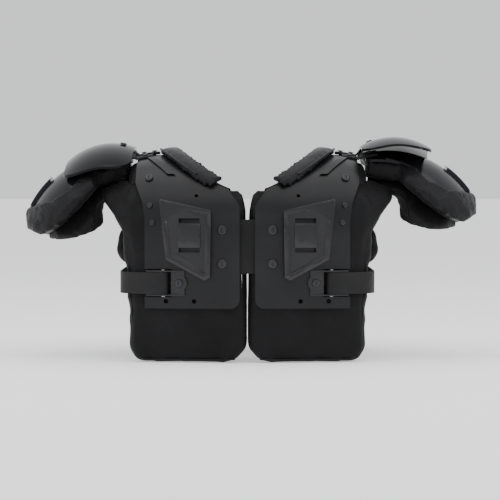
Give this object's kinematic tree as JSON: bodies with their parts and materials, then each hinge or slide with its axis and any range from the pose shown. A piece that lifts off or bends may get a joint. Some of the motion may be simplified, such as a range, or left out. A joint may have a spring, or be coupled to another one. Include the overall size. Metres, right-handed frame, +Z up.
{
  "type": "shoulder pads",
  "caption": "Black gridiron shoulder pads: two hinged plastic arches over padded liners, with swinging cups and epaulets.",
  "frame": {"origin": "on the floor under the liners, midway between the halves and midway from back to front", "axes": "+Z up, -Y towards the wearer's back, +X towards the wearer's right"},
  "size_m": [0.611, 0.2992, 0.2934],
  "materials": {
    "moulded_plate": "satin moulded black, fine leather grain",
    "moulded_panel": "satin moulded black",
    "nylon_cover": "satin coated nylon",
    "nylon_liner": "matte nylon over foam",
    "webbing": "woven webbing",
    "elastic_belt": "ribbed elastic webbing",
    "painted_steel": "black painted steel",
    "steel_pin": "blackened pin",
    "roller_plastic": "satin",
    "black_screw": "black oxide, semi-gloss",
    "gloss_cup": "glossy moulded black",
    "gloss_epaulet": "very glossy moulded black",
    "label": "blank white woven label"
  },
  "bodies": {
    "left_half": {"back_plate_left": "moulded_plate", "front_plate_left": "moulded_plate", "shoulder_bridge_left": "moulded_plate", "back_panel_left": "moulded_panel", "front_panel_left": "moulded_panel", "collar_flap_left": "nylon_cover", "back_liner_left": "nylon_liner", "front_liner_left": "nylon_liner", "shoulder_liner_left": "nylon_liner", "hinge_strap_left": "webbing", "epaulet_strap_left": "webbing", "cup_straps_left": "webbing", "belt_left": "elastic_belt", "belt_bracket_left": "painted_steel", "roller_pin_left": "steel_pin", "t_hook_left": "painted_steel", "plate_screws_left": "black_screw", "plate_rivets_left": "black_screw", "eyelets_left": "black_screw", "care_label": "label"},
    "cup_left": {"shoulder_cup_left": "gloss_cup", "cup_tabs_left": "webbing", "cup_rivets_left": "black_screw", "deltoid_pad_left": "nylon_cover", "deltoid_flap_left": "nylon_liner"},
    "epaulet_left": {"epaulet_left": "gloss_epaulet", "epaulet_tab_left": "webbing", "epaulet_screw_left": "black_screw"},
    "roller_left": {"belt_roller_left": "roller_plastic"},
    "right_half": {"back_plate_right": "moulded_plate", "front_plate_right": "moulded_plate", "shoulder_bridge_right": "moulded_plate", "back_panel_right": "moulded_panel", "front_panel_right": "moulded_panel", "collar_flap_right": "nylon_cover", "back_liner_right": "nylon_liner", "front_liner_right": "nylon_liner", "shoulder_liner_right": "nylon_liner", "hinge_strap_right": "webbing", "epaulet_strap_right": "webbing", "cup_straps_right": "webbing", "belt_right": "elastic_belt", "belt_bracket_right": "painted_steel", "roller_pin_right": "steel_pin", "t_hook_right": "painted_steel", "plate_screws_right": "black_screw", "plate_rivets_right": "black_screw", "eyelets_right": "black_screw"},
    "cup_right": {"shoulder_cup_right": "gloss_cup", "cup_tabs_right": "webbing", "cup_rivets_right": "black_screw", "deltoid_pad_right": "nylon_cover", "deltoid_flap_right": "nylon_liner"},
    "epaulet_right": {"epaulet_right": "gloss_epaulet", "epaulet_tab_right": "webbing", "epaulet_screw_right": "black_screw"},
    "roller_right": {"belt_roller_right": "roller_plastic"}
  },
  "joints": [
    {"name": "back_hinge", "type": "hinge", "parent": "left_half", "child": "right_half", "pos_m": [0, -0.136, 0.15], "axis": [0, 0, -1], "range_deg": [0, 35]},
    {"name": "cup_left_hinge", "type": "hinge", "parent": "left_half", "child": "cup_left", "pos_m": [-0.149, 0, 0.27], "axis": [0, 1, 0], "range_deg": [0, 45]},
    {"name": "epaulet_left_hinge", "type": "hinge", "parent": "left_half", "child": "epaulet_left", "pos_m": [-0.149, 0, 0.27], "axis": [0, 1, 0], "range_deg": [0, 45]},
    {"name": "roller_left_spin", "type": "hinge", "parent": "left_half", "child": "roller_left", "pos_m": [-0.1085, -0.134, 0.103], "axis": [0, 0, 1], "continuous": true},
    {"name": "cup_right_hinge", "type": "hinge", "parent": "right_half", "child": "cup_right", "pos_m": [0.149, 0, 0.27], "axis": [0, -1, 0], "range_deg": [0, 38]},
    {"name": "epaulet_right_hinge", "type": "hinge", "parent": "right_half", "child": "epaulet_right", "pos_m": [0.149, 0, 0.27], "axis": [0, -1, 0], "range_deg": [0, 38]},
    {"name": "roller_right_spin", "type": "hinge", "parent": "right_half", "child": "roller_right", "pos_m": [0.1085, -0.134, 0.103], "axis": [0, 0, 1], "continuous": true}
  ],
  "couplings": [
    {"joint": "epaulet_left_hinge", "follows": "cup_left_hinge", "ratio": 1},
    {"joint": "epaulet_right_hinge", "follows": "cup_right_hinge", "ratio": 1}
  ]
}
